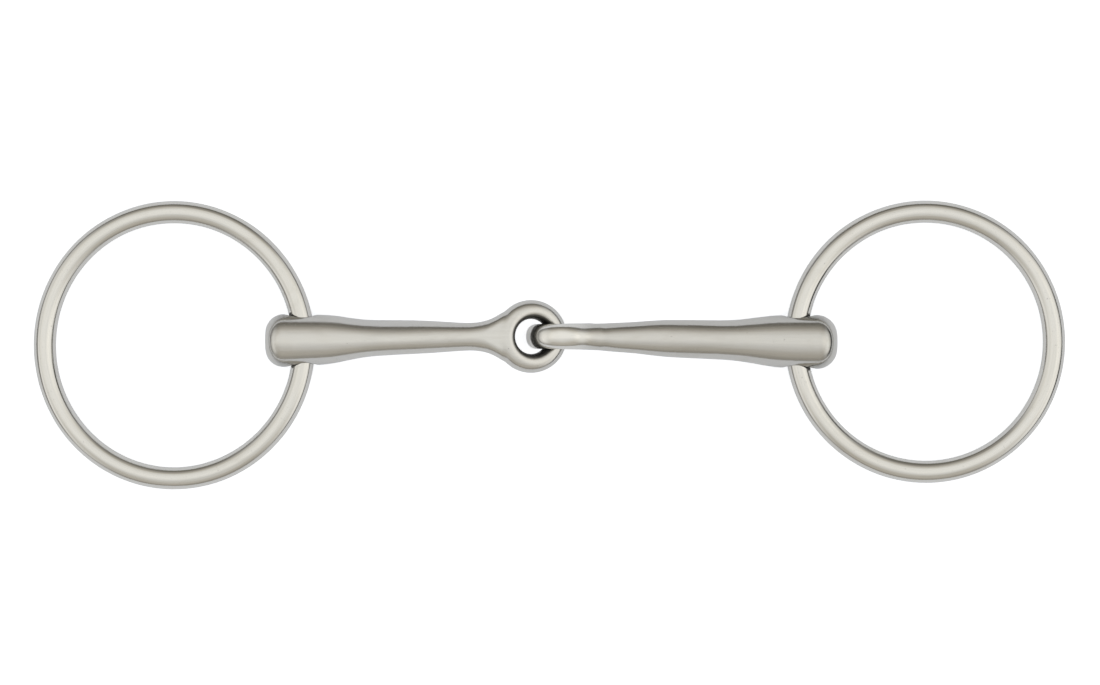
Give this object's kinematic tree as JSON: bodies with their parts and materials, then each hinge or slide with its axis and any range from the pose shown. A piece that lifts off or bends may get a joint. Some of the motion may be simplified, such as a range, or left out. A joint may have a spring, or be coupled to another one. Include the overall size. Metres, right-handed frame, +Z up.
{
  "type": "snaffle bit",
  "caption": "Loose-ring snaffle bit: two tapered stainless arms linked by interlocked eyes, each drilled butt carrying a round welded wire ring.",
  "frame": {"origin": "middle of the footprint, on the surface that the bit lies on", "axes": "+X along the mouthpiece from the left ring to the right ring, +Y across it in the plane of the rings, +Z up from the surface"},
  "size_m": [0.278, 0.0778, 0.0195],
  "materials": {
    "satin_steel_arms": "stainless steel, hand-polished to a soft satin, fine random polishing marks, warm grey",
    "polished_steel_rings": "stainless steel wire, polished bright with fine lengthwise marks and a dressed butt weld"
  },
  "bodies": {
    "left_arm": {"left_mouthpiece_arm": "satin_steel_arms"},
    "right_arm": {"right_mouthpiece_arm": "satin_steel_arms"},
    "left_cheek_ring": {"left_ring": "polished_steel_rings"},
    "right_cheek_ring": {"right_ring": "polished_steel_rings"}
  },
  "joints": [
    {"name": "centre_joint", "type": "hinge", "parent": "left_arm", "child": "right_arm", "pos_m": [-0.0049, 0.00226, 0.01218], "axis": [0.2756, 0, 0.9613], "range_deg": [-90, 90]},
    {"name": "left_ring_swing", "type": "hinge", "parent": "left_arm", "child": "left_cheek_ring", "pos_m": [-0.06609, 0.00125, 0.00625], "axis": [-0.0384, 0.9993, 0], "range_deg": [-120, 120]},
    {"name": "right_ring_swing", "type": "hinge", "parent": "right_arm", "child": "right_cheek_ring", "pos_m": [0.06644, 0.00085, 0.00625], "axis": [0, -1, 0], "range_deg": [-120, 120]}
  ]
}
